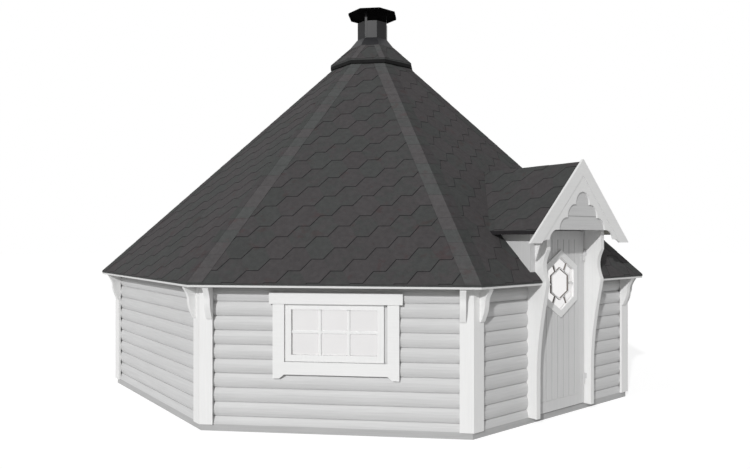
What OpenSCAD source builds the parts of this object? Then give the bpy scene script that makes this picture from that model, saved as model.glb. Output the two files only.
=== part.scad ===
// Octagonal timber grill cabin with a gabled door porch and a smoke hood on the roof.
// Millimetres. Origin on the ground at the centre of the octagon, +Z up, the door faces -Y.
// Wall k is turned 45 degrees * k about Z from the door wall (k = 0).

/* [Base and floor] */
// Distance from the centre to the outer face of the base frame
base_apothem = 2725; // [2400:5:3200]
// Height of the base frame
base_h = 56; // [40:1:90]
// Width of the base frame's beams
base_beam_w = 95; // [70:1:140]
// Thickness of the floor boards
floor_t = 20; // [14:1:28]
// Width of a floor joist
joist_w = 60; // [40:1:90]
// Number of floor joists on each side of the middle one
joists_each_side = 3; // [2:1:5]
// Gap between the floor's parts and the base frame
floor_gap = 1; // [0.5:0.5:4]

/* [Log walls] */
// Thickness of a wall log
wall_t = 45; // [34:1:70]
// Height of one log course
course_h = 120; // [90:1:160]
// Height of the first joint between logs
first_joint_z = 123; // [100:1:150]
// Depth by which a log's rounded face falls back at its edges
log_round = 18; // [8:1:22]
// Depth of the groove between two logs
groove_d = 24; // [23:0.5:28]
// Height of the groove between two logs
groove_h = 6; // [3:1:12]
// Gap at the mitre between two neighbouring walls
corner_gap = 2; // [1:0.5:6]
// Gap at the mitre between two neighbouring boards or sheets
panel_gap = 1; // [0.5:0.5:3]

/* [Corners and eave brackets] */
// Width of a corner board
corner_board_w = 106; // [80:1:150]
// Thickness of a corner board
corner_board_t = 22; // [16:1:30]
// Thickness of an eave bracket
bracket_t = 50; // [30:1:70]
// Depth of an eave bracket's foot below the roof's eave
bracket_foot_drop = 302; // [220:1:400]
// Reach of an eave bracket in front of the wall at the soffit
bracket_reach = 122; // [100:1:130]
// Reach of an eave bracket in front of the wall at its foot
bracket_foot_reach = 34; // [28:1:60]
// Reach of an eave bracket in front of the wall at its waist
bracket_waist_reach = 80; // [65:1:95]
// Depth of an eave bracket's waist below the roof's eave
bracket_waist_drop = 147; // [110:1:200]
// Height of the straight end at the top of an eave bracket
bracket_lip = 30; // [10:1:40]

/* [Main roof] */
// Reach of the roof's eave in front of the walls
eave_over = 150; // [130:1:220]
// Height of the roof's top edge at the eave
eave_z = 1242; // [1230:1:1500]
// Thickness of the roof boards
deck_t = 22; // [16:1:30]
// Thickness of the bitumen covering
cover_t = 8; // [5:1:14]
// Distance from the centre to the edge of the smoke opening
smoke_apothem = 300; // [220:5:360]
// Height of the white eave trim
eave_trim_h = 22; // [16:1:40]
// Thickness of the white eave trim
eave_trim_t = 18; // [12:1:30]
// Setback of the white eave trim behind the covering's edge
eave_trim_setback = 4; // [1:1:12]
// Width of the hip caps on each side of a hip
hip_cap_w = 120; // [90:1:200]
// Thickness of the hip caps
hip_cap_t = 4; // [3:1:8]

/* [Smoke hood] */
// Distance from the centre to the hood's eave
hood_apothem = 490; // [450:5:560]
// Height by which the hood's slopes lie above the main roof's slopes
hood_rise = 75; // [60:1:120]
// Height of the black fascia round the hood
hood_fascia_h = 38; // [25:1:45]
// Thickness of the hood's boards
hood_deck_t = 18; // [12:1:24]
// Distance from the centre to the hood's upper edge
hood_top_apothem = 255; // [220:5:300]
// Side of the posts that carry the hood
hood_post_w = 40; // [25:1:60]
// Gap between those posts and the hip caps' upper ends
hood_post_gap = 10; // [5:1:30]
// Height of the collar round the smoke opening
collar_h = 70; // [40:1:90]
// Thickness of the collar round the smoke opening
collar_t = 30; // [20:1:40]

/* [Chimney] */
// Distance from the centre to the flat sides of the chimney shaft
shaft_apothem = 176; // [150:1:200]
// Sheet thickness of the chimney parts
sheet_t = 3; // [2:0.5:5]
// Length by which the metal skirt laps over the hood
skirt_lap = 12; // [6:1:20]
// Height of the metal skirt
skirt_h = 117; // [80:1:160]
// Height of the shaft above the skirt
shaft_h = 206; // [140:1:280]
// Depth by which the shaft reaches into the skirt
shaft_foot = 60; // [30:1:80]
// Distance from the centre to the flat sides of the chimney cap
cap_apothem = 285; // [240:1:320]
// Height of the open gap between the shaft and the cap
cap_gap = 93; // [60:1:140]
// Thickness of the cap at its rim
cap_t = 24; // [16:1:36]
// Width of the straps that carry the cap
strap_w = 26; // [20:1:40]
// Length by which the straps lap down the shaft
strap_lap = 190; // [60:1:200]

/* [Door porch] */
// Half of the clear width between the porch side boards
porch_half = 380; // [350:1:420]
// Thickness of a porch side board
side_board_t = 50; // [36:1:60]
// Reach of the side boards in front of the wall near the ground
side_foot_reach = 89; // [70:1:110]
// Reach of the side boards at the point under the eave
side_point_reach = 188; // [170:1:205]
// Depth of that point below the roof's eave
side_point_drop = 2; // [0:1:60]
// Height where the side boards' lower curve starts
side_curve_z = 430; // [350:5:600]
// Height of the straight part of the side boards below the point
side_point_flat = 25; // [10:1:80]
// Reach of the side boards at the bottom of the notch above the point
side_notch_reach = 155; // [140:1:165]
// Height of the notch's bottom above the roof's eave
side_notch_rise = 136; // [100:1:160]
// Height above the roof's eave where the notch ends and the side boards run straight up
side_top_rise = 268; // [220:1:320]
// Reach of the side boards under the porch roof
side_top_reach = 193; // [175:1:205]

/* [Porch roof] */
// Height of the door opening's head, which is the gable infill's lower edge
head_z = 1685; // [1620:1:1720]
// Height of the porch roof's ridge above that head
gable_h = 598; // [560:1:640]
// Reach of the porch roof's eaves beyond the side boards
porch_eave_over = 179; // [150:1:200]
// Reach of the porch roof in front of the walls
porch_reach = 240; // [215:1:300]
// Thickness of the porch roof's boards
porch_deck_t = 14; // [12:1:22]
// Thickness of a boxed porch cheek
cheek_t = 68; // [30:1:90]
// Reach of the cheeks in front of the walls
cheek_reach = 72; // [40:1:90]
// Width of the barge boards
barge_w = 104; // [80:1:120]
// Thickness of the barge boards
barge_t = 22; // [18:1:35]
// Height of the barge boards' peak above the porch ridge
barge_rise = 24; // [5:1:36]
// Length by which the barge boards reach sideways beyond the side boards
barge_over = 307; // [270:1:340]
// Thickness of the scalloped board
scallop_t = 15; // [12:1:18]
// Setback of the scalloped board behind the barge boards' front
scallop_setback = 5; // [2:1:8]
// Thickness of the gable infill
infill_t = 20; // [16:1:24]
// Radius of the arch at the top of the scalloped opening
arch_r = 102; // [80:1:115]
// Height of that arch's centre above the door head
arch_rise = 232; // [215:1:250]
// Distances of the scallops' centres from the middle, from the inner to the outer one
scallop_x = [118, 235, 375, 510]; // [0:1:700]
// Heights of the scallops' centres above the door head
scallop_rise = [118, 0, -107, -195]; // [-300:1:300]
// Radii of the scallops
scallop_r = [104, 106, 106, 110]; // [60:1:160]

/* [Door] */
// Clearance round the door leaf
door_gap = 7; // [7:0.5:10]
// Thickness of the door leaf
leaf_t = 40; // [34:1:50]
// Distance by which the leaf stands in front of the base frame
leaf_proud = 17; // [8:1:40]
// Width of the leaf's stiles and top rail
stile_w = 80; // [60:1:110]
// Height of the leaf's bottom rail
bottom_rail_h = 95; // [70:1:140]
// Depth by which the leaf's boards lie behind its stiles
panel_recess = 4; // [2:1:8]
// Half of the width of the door window's frame
hex_half_w = 248; // [200:1:260]
// Half of the height of the door window's frame
hex_half_h = 306; // [260:1:340]
// Half of the length of the door window's upright sides
hex_side_half = 156; // [120:1:190]
// Depth of the door window's centre below the door head
hex_drop = 486; // [440:1:520]
// Width of the door window's frame
hex_frame_w = 56; // [35:1:65]
// Distance by which that frame stands in front of the leaf
hex_proud = 14; // [6:1:18]
// Depth by which that frame's opening laps over the hole in the leaf
hex_lap = 15; // [8:1:20]
// Thickness of the door glass
door_glass_t = 6; // [4:1:12]
// Setback of the door glass behind the leaf's front
door_glass_setback = 20; // [8:1:28]
// Thickness of the door stops
stop_t = 28; // [18:1:40]
// Width of the door stops
stop_w = 30; // [20:1:45]
// Height of the sill behind the leaf
sill_h = 25; // [15:1:40]
// Diameter of the hinge knuckles
knuckle_d = 14; // [12:1:24]
// Height of a hinge
hinge_h = 100; // [80:1:160]
// Distance from the leaf's ends to the middle of a hinge
hinge_inset = 230; // [150:5:300]
// Gap between the two halves of a knuckle
hinge_slit = 1; // [0.5:0.5:3]
// Length of a hinge's flap
flap_l = 44; // [34:1:80]
// Thickness of a hinge's flap
flap_t = 3; // [2:0.5:5]
// Height of the handle's centre
handle_z = 960; // [850:5:1050]
// Distance from the leaf's edge to the handle
handle_inset = 60; // [50:1:80]
// Length of the handle
handle_l = 150; // [110:1:220]
// Distance from the leaf to the middle of the grip
handle_reach = 45; // [35:1:60]
// Diameter of the handle's grip
handle_d = 20; // [14:1:26]
// Diameter of the handle's two feet
handle_foot_d = 14; // [10:1:18]

/* [Windows] */
// Distance of a window's middle from the middle of its wall
window_off = 17; // [0:1:40]
// Half of the outer width of a window's casing
casing_half = 523.5; // [460:0.5:600]
// Width of the casing's side boards
casing_w = 96; // [70:1:120]
// Thickness of the casing's boards
casing_t = 24; // [16:1:32]
// Depth of the casing's top below the roof's eave
casing_drop = 77; // [50:1:110]
// Height of the header board
header_h = 93; // [70:1:120]
// Length by which the header reaches past each side board
header_over = 28; // [10:1:50]
// Thickness of the header board
header_t = 34; // [26:1:45]
// Height of the bottom board
bottom_board_h = 103; // [80:1:130]
// Height of the opening between the header board and the bottom board
window_h = 479; // [380:1:520]
// Length of the side boards' feet below the bottom board
casing_foot = 34; // [20:1:60]
// Width of those feet at their lower end
casing_foot_w = 55; // [35:1:80]
// Width of the frame that shows beside the sash
frame_reveal = 30; // [15:1:45]
// Width of the sash's stiles and of its bottom rail
sash_w = 54; // [40:1:75]
// Height of the sash's top rail
sash_top_h = 44; // [35:1:60]
// Distance by which a sash stands in front of the base frame
sash_proud = 4; // [1:1:10]
// Depth of the part of a sash that shows
sash_depth = 18; // [12:1:26]
// Thickness of the window glass
glass_t = 6; // [4:1:10]
// Distance from a sash's back to the window glass
glass_setback = 8; // [4:1:12]
// Width by which frame and glass reach behind the sash
sash_lap = 10; // [6:1:16]
// Width by which the window frame reaches behind the casing
frame_lap = 20; // [10:1:30]
// Gap round a sash
sash_gap = 3; // [2:0.5:6]

/* [Hidden] */
half_turn = 22.5;
root2 = sqrt(2);
tan_corner = tan(half_turn);
// steps of a sawn curve
curve_steps = 8;
// heights on a log's rounded face, as parts of half a course, and the least step between two
log_parts = [0.2, 0.5, 0.78];
least_step = 1;
round_fn = 48;
eps = 0.01;
far = 4 * base_apothem;
all_sides = [0:7];
window_sides = [1, 7];
plain_sides = [2:6];
strap_sides = [1:2:7];

// roof planes: every apex is the height where the plane crosses the octagon's axis
eave_apothem = base_apothem + eave_over;
roof_apex = eave_z + eave_apothem;
deck_top_apex = roof_apex - cover_t * root2;
deck_low_apex = deck_top_apex - deck_t * root2;
trim_out = eave_apothem - eave_trim_setback;
trim_low_z = deck_top_apex - trim_out - eave_trim_h;
deck_end = trim_out - eave_trim_t - panel_gap;

// corners
side_half = base_apothem * tan_corner;
board_start = side_half - corner_board_w;
board_face = base_apothem + corner_board_t;

// log wall
wall_in = base_apothem - wall_t;
groove_part = 1 - groove_h / course_h;

// smoke hood and chimney
hood_apex = roof_apex + hood_rise;
hood_deck_top_apex = hood_apex - cover_t * root2;
hood_deck_low_apex = hood_deck_top_apex - hood_deck_t * root2;
fascia_top_z = hood_deck_top_apex - hood_apothem;
post_in = (smoke_apothem + hood_apothem - hood_post_w) / 2;
post_out = post_in + hood_post_w;
skirt_apothem = hood_top_apothem + skirt_lap;
skirt_low_z = hood_apex - skirt_apothem + sheet_t;
skirt_top_z = skirt_low_z + skirt_h;
shaft_top_z = skirt_top_z + shaft_h;
cap_low_z = shaft_top_z + cap_gap;
shaft_half = shaft_apothem * tan_corner;

// porch
side_out = porch_half + side_board_t;
cheek_out = side_out + cheek_t;
cheek_front = base_apothem + cheek_reach;
porch_clear_half = side_out + panel_gap;
porch_front = base_apothem + porch_reach;
porch_ridge_z = head_z + gable_h;
porch_back = deck_low_apex - porch_ridge_z;
porch_eave_half = side_out + porch_eave_over;
porch_deck_top_ridge = porch_ridge_z - cover_t * root2;
porch_low_ridge = porch_deck_top_ridge - porch_deck_t * root2;
barge_peak = porch_ridge_z + barge_rise;
barge_low_peak = barge_peak - barge_w * root2;
barge_half = side_out + barge_over;
barge_tip_z = barge_peak - barge_half;
barge_front = porch_front + barge_t;
gable_peak = barge_low_peak - panel_gap * root2;
scallop_front = barge_front - scallop_setback;
infill_front = scallop_front - scallop_t;
arch_z = head_z + arch_rise;

// door
leaf_half = porch_half - door_gap;
leaf_front = base_apothem + leaf_proud;
leaf_back = leaf_front - leaf_t;
leaf_low_z = base_h + door_gap;
leaf_top_z = head_z - door_gap;
panel_half = leaf_half - stile_w;
panel_low_z = leaf_low_z + bottom_rail_h;
panel_h = leaf_top_z - stile_w - panel_low_z;
hex_z = head_z - hex_drop;
hex_hole_inset = hex_frame_w - hex_lap;
stop_front = leaf_back - door_gap;
stop_in = porch_half - stop_w;
hinge_x = leaf_half - knuckle_d / 2;
hinge_y = -(leaf_front + knuckle_d / 2);
hinge_zs = [leaf_low_z + hinge_inset, leaf_top_z - hinge_inset];
half_hinge_h = (hinge_h - hinge_slit) / 2;
handle_x = handle_inset - leaf_half;

// window
casing_in = casing_half - casing_w;
light_top = eave_z - casing_drop - header_h;
light_low = light_top - window_h;
casing_low_z = light_low - bottom_board_h;
foot_z = casing_low_z - casing_foot;
sash_left = panel_gap - casing_in;
sash_wide = 2 * casing_in - panel_gap - frame_reveal;
sash_low = light_low + sash_gap;
sash_h = window_h - 2 * sash_gap;
sash_front = base_apothem + sash_proud;
frame_front = sash_front - sash_depth;
frame_half = casing_in + frame_lap;
pane_left = sash_left + sash_w;
pane_low = sash_low + sash_w;
pane_wide = sash_wide - 2 * sash_w;
pane_h = sash_h - sash_w - sash_top_h;

// ---- shared helpers -------------------------------------------------------

// draws its children in the frame of every wall listed
module at_walls(sides) {
    for (k = sides)
        rotate([0, 0, 45 * k])
            children();
}

// draws its children as they are and mirrored from left to right
module both_sides() {
    for (side = [0, 1])
        mirror([side, 0, 0])
            children();
}

// an outline given as [y, z], carried along the wall from x0 to x1
module along_wall(x0, x1) {
    translate([x0, 0, 0])
        rotate([90, 0, 90])
            linear_extrude(x1 - x0)
                children();
}

// an outline given as [x, z], whose front face is front in front of the centre
module facing(front, t) {
    translate([0, t - front, 0])
        rotate([90, 0, 0])
            linear_extrude(t)
                children();
}

// the eighth of the plan that belongs to one wall, less a gap along its two mitres
module wedge(gap) {
    shift = gap / 2 / sin(half_turn);
    reach = (far - shift) * tan_corner;
    linear_extrude(far)
        polygon([[0, -shift], [-reach, -far], [reach, -far]]);
}

// an outline given as [y, z], carried along one wall between its mitres
module wall_run(gap) {
    intersection() {
        along_wall(-far / 2, far / 2)
            children();
        wedge(gap);
    }
}

// an upright eight-sided solid that tapers from one distance to another
module taper(apothem_low, apothem_top, h) {
    rotate([0, 0, half_turn])
        cylinder(r1 = apothem_low / cos(half_turn), r2 = apothem_top / cos(half_turn),
                 h = h, $fn = 8);
}

// an upright eight-sided prism with flat sides at the given distance
module octagon(apothem, h) {
    rotate([0, 0, half_turn])
        cylinder(r = apothem / cos(half_turn), h = h, $fn = 8);
}

module octagon_tube(apothem, wall, h) {
    difference() {
        octagon(apothem, h);
        translate([0, 0, -eps])
            octagon(apothem - wall, h + 2 * eps);
    }
}

// a slab that slopes at 45 degrees between two distances from the centre
module slab(apex_top, apex_low, inner, outer) {
    polygon([[-outer, apex_low - outer], [-outer, apex_top - outer],
             [-inner, apex_top - inner], [-inner, apex_low - inner]]);
}

// everything below the main roof's covering, seen along the door wall
module below_roof() {
    along_wall(-far / 2, far / 2)
        polygon([[-far / 2, 0], [-far / 2, roof_apex - far / 2], [0, roof_apex], [0, 0]]);
}

// the outline below a 45-degree gable with its ridge at peak, cut off at half and at low
module gable_outline(half, peak, low) {
    polygon([[-half, low], [half, low], [half, peak - half], [0, peak],
             [-half, peak - half]]);
}

// the room under the porch roof's boards, as wide as half on each side
module under_porch(half) {
    facing(far / 2, far / 2 - porch_back)
        gable_outline(half, porch_low_ridge, 0);
}

// ---- base and floor -------------------------------------------------------

module base_frame() {
    color("darkgray")
        octagon_tube(base_apothem, base_beam_w, base_h);
}

module floor_joists() {
    inner = base_apothem - base_beam_w - floor_gap;
    pitch = inner / (joists_each_side + 0.5);
    color("burlywood")
        for (i = [-joists_each_side:joists_each_side]) {
            edge = abs(i * pitch) + joist_w / 2;
            reach = min(inner, inner * root2 - edge);
            translate([-reach, i * pitch - joist_w / 2, 0])
                cube([2 * reach, joist_w, base_h - floor_t]);
        }
}

module floor_deck() {
    color("burlywood")
        translate([0, 0, base_h - floor_t])
            octagon(base_apothem - base_beam_w - floor_gap, floor_t);
}

// ---- log walls ------------------------------------------------------------

// depth of a log's face at a height given as a part of half a course
function log_depth(part) = abs(part) > groove_part ? groove_d : log_round * part * part;

// height above the middle of the log there, as a part of half a course
function log_part(z) =
    let (course = floor((z - first_joint_z) / course_h))
    2 * (z - first_joint_z) / course_h - 2 * course - 1;

// outline of one log's face between the grooves under and over it
function log_curve(middle) =
    let (parts = concat([-groove_part], -1 * [log_parts[2], log_parts[1], log_parts[0]],
                        log_parts, [groove_part]))
    concat([[groove_d - base_apothem, middle - groove_part * course_h / 2]],
           [for (part = parts)
               [log_depth(part) - base_apothem, middle + part * course_h / 2]],
           [[groove_d - base_apothem, middle + groove_part * course_h / 2]]);

module log_outline() {
    top_z = deck_low_apex - base_apothem;
    first_middle = first_joint_z - course_h / 2;
    courses = ceil((top_z - first_middle) / course_h);
    polygon(concat(
        [[log_depth(log_part(base_h)) - base_apothem, base_h]],
        [for (i = [0:courses])
            for (point = log_curve(first_middle + i * course_h))
                if (point.y > base_h + least_step && point.y < top_z - least_step)
                    point],
        [[log_depth(log_part(top_z)) - base_apothem, top_z],
         [-wall_in, deck_low_apex - wall_in],
         [-wall_in, base_h]]));
}

module plain_walls() {
    color("gainsboro")
        at_walls(plain_sides)
            wall_run(corner_gap)
                log_outline();
}

module window_walls() {
    color("gainsboro")
        at_walls(window_sides)
            difference() {
                wall_run(corner_gap)
                    log_outline();
                facing(far, far)
                    frame_outline();
            }
}

module door_walls() {
    color("gainsboro")
        difference() {
            wall_run(corner_gap)
                log_outline();
            translate([-porch_clear_half, -far, 0])
                cube([2 * porch_clear_half, far, far]);
        }
}

// ---- corners --------------------------------------------------------------

module corner_boards() {
    color("white")
        at_walls(all_sides)
            both_sides()
                intersection() {
                    along_wall(board_start, far / 2)
                        slab_of_board();
                    wedge(panel_gap);
                }
}

module slab_of_board() {
    polygon([[-board_face, base_h], [-board_face, deck_low_apex - board_face],
             [-base_apothem, deck_low_apex - base_apothem], [-base_apothem, base_h]]);
}

module bracket_outline() {
    top_out = base_apothem + bracket_reach;
    waist_out = base_apothem + bracket_waist_reach;
    foot_out = base_apothem + bracket_foot_reach;
    top_z = deck_low_apex - top_out;
    low_z = eave_z - bracket_foot_drop;
    waist_z = eave_z - bracket_waist_drop;
    lip_z = top_z - bracket_lip;
    polygon(concat(
        [[-board_face, low_z], [-foot_out, low_z]],
        [for (i = [1:curve_steps])
            [-(foot_out + (waist_out - foot_out) * sin(90 * i / curve_steps)),
             low_z + (waist_z - low_z) * i / curve_steps]],
        [for (i = [1:curve_steps])
            [-(waist_out + (top_out - waist_out) * (1 - cos(90 * i / curve_steps))),
             waist_z + (lip_z - waist_z) * i / curve_steps]],
        [[-top_out, top_z], [-board_face, deck_low_apex - board_face]]));
}

module eave_brackets() {
    color("white")
        at_walls(all_sides)
            both_sides()
                along_wall(board_start, board_start + bracket_t)
                    bracket_outline();
}

// ---- main roof ------------------------------------------------------------

module roof_panel() {
    wall_run(corner_gap)
        slab(deck_top_apex, deck_low_apex, smoke_apothem, deck_end);
}

module roof_panels() {
    color("peru")
        at_walls([1:7])
            roof_panel();
}

module roof_panel_front() {
    color("peru")
        difference() {
            roof_panel();
            under_porch(porch_clear_half);
        }
}

module roof_covering() {
    color([0.25, 0.25, 0.26])
        difference() {
            at_walls(all_sides)
                wall_run(panel_gap)
                    slab(roof_apex, deck_top_apex, smoke_apothem, eave_apothem);
            under_porch(porch_clear_half);
        }
}

module hip_caps() {
    band = hip_cap_w * cos(half_turn) / cos(atan(tan_corner / root2));
    color([0.32, 0.32, 0.32])
        at_walls(all_sides)
            intersection() {
                wall_run(panel_gap)
                    slab(roof_apex + hip_cap_t * root2, roof_apex,
                         post_out + hood_post_gap, eave_apothem);
                for (side = [-1, 1])
                    rotate([0, 0, side * half_turn])
                        translate([-band, -far, 0])
                            cube([2 * band, far, far]);
            }
}

module eave_trim() {
    color("white")
        difference() {
            translate([0, 0, trim_low_z])
                octagon_tube(trim_out, eave_trim_t, eave_trim_h);
            translate([-porch_clear_half, -far, 0])
                cube([2 * porch_clear_half, far, far]);
        }
}

// ---- smoke hood and chimney -----------------------------------------------

module smoke_collar() {
    apothem = smoke_apothem - panel_gap;
    color("peru")
        translate([0, 0, deck_low_apex - smoke_apothem])
            octagon_tube(apothem, collar_t, collar_h);
}

module hood_posts() {
    color("peru")
        at_walls(all_sides)
            along_wall(-hood_post_w / 2, hood_post_w / 2)
                slab(hood_deck_low_apex, roof_apex, post_in, post_out);
}

module hood_deck() {
    color("peru")
        at_walls(all_sides)
            wall_run(panel_gap)
                slab(hood_deck_top_apex, hood_deck_low_apex, hood_top_apothem,
                     hood_apothem - sheet_t - panel_gap);
}

module hood_covering() {
    color([0.25, 0.25, 0.26])
        at_walls(all_sides)
            wall_run(panel_gap)
                slab(hood_apex, hood_deck_top_apex, hood_top_apothem, hood_apothem);
}

module hood_fascia() {
    color([0.1, 0.1, 0.1])
        translate([0, 0, fascia_top_z - hood_fascia_h])
            octagon_tube(hood_apothem, sheet_t, hood_fascia_h);
}

module chimney_skirt() {
    color([0.1, 0.1, 0.1])
        translate([0, 0, skirt_low_z])
            difference() {
                taper(skirt_apothem, shaft_apothem + sheet_t, skirt_h);
                taper(skirt_apothem - sheet_t, shaft_apothem + eps, skirt_h);
            }
}

module chimney_shaft() {
    color([0.1, 0.1, 0.1])
        translate([0, 0, skirt_top_z - shaft_foot])
            octagon_tube(shaft_apothem, sheet_t, shaft_foot + shaft_h);
}

module cap_straps() {
    low_z = shaft_top_z - strap_lap;
    color([0.1, 0.1, 0.1])
        at_walls(strap_sides)
            along_wall(-shaft_half, strap_w - shaft_half)
                translate([-shaft_apothem - sheet_t, low_z])
                    square([sheet_t, cap_low_z + cap_t - sheet_t - low_z]);
}

module chimney_cap() {
    color([0.05, 0.05, 0.05])
        translate([0, 0, cap_low_z])
            difference() {
                octagon(cap_apothem, cap_t);
                translate([0, 0, -eps])
                    octagon(cap_apothem - sheet_t, cap_t - sheet_t + eps);
            }
}

// ---- porch ----------------------------------------------------------------

module side_board_outline() {
    foot = base_apothem + side_foot_reach;
    point = base_apothem + side_point_reach;
    notch = base_apothem + side_notch_reach;
    top = base_apothem + side_top_reach;
    point_z = eave_z - side_point_drop;
    point_low_z = point_z - side_point_flat;
    notch_z = eave_z + side_notch_rise;
    top_z = eave_z + side_top_rise;
    polygon(concat(
        [[-wall_in, base_h], [-foot, base_h]],
        [for (i = [0:curve_steps])
            [-(foot + (point - foot) * (1 - cos(90 * i / curve_steps))),
             side_curve_z + (point_low_z - side_curve_z) * i / curve_steps]],
        [for (i = [0:curve_steps])
            [-(point - (point - notch) * sin(90 * i / curve_steps)),
             point_z + (notch_z - point_z) * i / curve_steps]],
        [for (i = [1:curve_steps])
            [-(notch + (top - notch) * (1 - cos(90 * i / curve_steps))),
             notch_z + (top_z - notch_z) * i / curve_steps]],
        [[-top, porch_low_ridge], [-wall_in, porch_low_ridge]]));
}

module porch_side_boards() {
    color("white")
        both_sides()
            intersection() {
                along_wall(porch_half, side_out)
                    side_board_outline();
                under_porch(side_out);
            }
}

module porch_cheeks() {
    back = roof_apex - porch_low_ridge + side_out;
    color("lightgray")
        both_sides()
            intersection() {
                along_wall(side_out + eps, cheek_out)
                    polygon([[-cheek_front, roof_apex - cheek_front],
                             [-cheek_front, porch_low_ridge],
                             [-back, porch_low_ridge], [-back, roof_apex - back]]);
                under_porch(cheek_out);
            }
}

// one layer of the porch roof between two ridge heights, down to the main roof
module porch_layer(ridge_top, ridge_low, half) {
    difference() {
        facing(porch_front, porch_front - porch_back)
            polygon([[0, ridge_top], [half, ridge_top - half], [half, ridge_low - half],
                     [0, ridge_low], [-half, ridge_low - half], [-half, ridge_top - half]]);
        below_roof();
    }
}

module porch_deck() {
    color("peru")
        porch_layer(porch_deck_top_ridge, porch_low_ridge,
                    porch_eave_half - cover_t - panel_gap);
}

// the covering with its edge folded down over the ends of the boards
module porch_covering() {
    fold = porch_eave_half - cover_t;
    low_z = porch_low_ridge - porch_eave_half;
    color([0.25, 0.25, 0.26])
        difference() {
            facing(porch_front, porch_front - porch_back)
                polygon([[0, porch_ridge_z],
                         [porch_eave_half, porch_ridge_z - porch_eave_half],
                         [porch_eave_half, low_z], [fold, low_z],
                         [fold, porch_deck_top_ridge - fold],
                         [0, porch_deck_top_ridge],
                         [-fold, porch_deck_top_ridge - fold],
                         [-fold, low_z], [-porch_eave_half, low_z],
                         [-porch_eave_half, porch_ridge_z - porch_eave_half]]);
            below_roof();
        }
}

module barge_boards() {
    low_half = barge_low_peak - barge_tip_z;
    color("white")
        facing(barge_front, barge_t)
            polygon([[0, barge_peak], [barge_half, barge_tip_z], [low_half, barge_tip_z],
                     [0, barge_low_peak], [-low_half, barge_tip_z],
                     [-barge_half, barge_tip_z]]);
}

// the opening below the scallops: an arch in the middle and lobes that step outwards
module scallop_void() {
    translate([0, arch_z])
        circle(r = arch_r, $fn = round_fn);
    translate([-arch_r, 0])
        square([2 * arch_r, arch_z]);
    for (i = [0:len(scallop_x) - 1]) {
        x = scallop_x[i];
        z = head_z + scallop_rise[i];
        r = scallop_r[i];
        for (side = [-1, 1])
            translate([side * x, z])
                circle(r = r, $fn = round_fn);
        translate([-x - r, 0])
            square([2 * (x + r), z]);
        translate([-x, 0])
            square([2 * x, z + r]);
    }
}

module scalloped_board() {
    half = gable_peak - barge_tip_z;
    color("white")
        facing(scallop_front, scallop_t)
            difference() {
                polygon([[0, gable_peak], [half, barge_tip_z], [-half, barge_tip_z]]);
                scallop_void();
            }
}

module gable_infill() {
    color("lightgray")
        facing(infill_front, infill_t)
            gable_outline(side_out, gable_peak, head_z);
}

module door_frame() {
    color("lightgray")
        facing(stop_front, stop_t)
            difference() {
                translate([-porch_half, base_h])
                    square([2 * porch_half, head_z - base_h]);
                translate([-stop_in, base_h + sill_h])
                    square([2 * stop_in, head_z - base_h - sill_h - stop_w]);
            }
}

module over_door_panel() {
    color("lightgray")
        facing(leaf_front, leaf_t)
            gable_outline(porch_half, porch_low_ridge, head_z);
}

// ---- door leaf ------------------------------------------------------------

// the door window's outline, drawn in from its outer edge by inset
module hexagon_outline(inset) {
    slope = (hex_half_h - hex_side_half) / hex_half_w;
    w = hex_half_w - inset;
    h = hex_half_h - inset * sqrt(1 + pow(slope, 2));
    s = h - w * slope;
    translate([0, hex_z])
        polygon([[0, h], [w, s], [w, -s], [0, -h], [-w, -s], [-w, s]]);
}

module door_leaf() {
    color("silver")
        difference() {
            facing(leaf_front, leaf_t)
                difference() {
                    translate([-leaf_half, leaf_low_z])
                        square([2 * leaf_half, leaf_top_z - leaf_low_z]);
                    hexagon_outline(hex_hole_inset);
                }
            for (front = [leaf_front + eps, leaf_back + panel_recess])
                facing(front, panel_recess + eps)
                    translate([-panel_half, panel_low_z])
                        square([2 * panel_half, panel_h]);
        }
}

module door_window_frame() {
    color("white")
        for (front = [leaf_front + hex_proud, leaf_back + panel_recess])
            facing(front, panel_recess + hex_proud)
                difference() {
                    hexagon_outline(0);
                    hexagon_outline(hex_frame_w);
                }
}

module door_glass() {
    color([0.95, 0.95, 0.95, 0.6])
        facing(leaf_front - door_glass_setback, door_glass_t)
            hexagon_outline(hex_hole_inset + eps);
}

// half of a hinge's knuckle, whose lower end is at height z
module knuckle(z) {
    translate([hinge_x, hinge_y, z])
        cylinder(d = knuckle_d, h = half_hinge_h, $fn = round_fn);
}

module door_hinges() {
    color("white")
        for (z = hinge_zs) {
            knuckle(z - hinge_h / 2);
            translate([hinge_x - flap_l, -leaf_front - flap_t, z - hinge_h / 2])
                cube([flap_l, flap_t, half_hinge_h]);
        }
}

module hinge_plates() {
    color("white")
        for (z = hinge_zs) {
            low_z = z + hinge_slit / 2;
            knuckle(low_z);
            translate([hinge_x, hinge_y - flap_t / 2, low_z])
                cube([porch_half - hinge_x, flap_t, half_hinge_h]);
            translate([porch_half - flap_t, hinge_y - flap_l / 2, low_z])
                cube([flap_t, flap_l / 2, half_hinge_h]);
        }
}

// one pull of the handle; out is -1 in front of the leaf and 1 behind it
module handle_pull(face, out) {
    foot = handle_l / 2 - handle_d;
    translate([handle_x, face + out * handle_reach, handle_z - handle_l / 2])
        cylinder(d = handle_d, h = handle_l, $fn = round_fn);
    for (z = [handle_z - foot, handle_z + foot])
        translate([handle_x, face, z])
            rotate([-90 * out, 0, 0])
                cylinder(d = handle_foot_d, h = handle_reach, $fn = round_fn);
}

module door_handle() {
    color("dimgray") {
        handle_pull(-leaf_front, -1);
        handle_pull(-leaf_back, 1);
    }
}

// ---- windows --------------------------------------------------------------

// the outer outline of a window's frame, which is the hole in the wall
module frame_outline() {
    translate([window_off - frame_half, light_low - frame_lap])
        square([2 * frame_half, window_h + 2 * frame_lap]);
}

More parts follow.
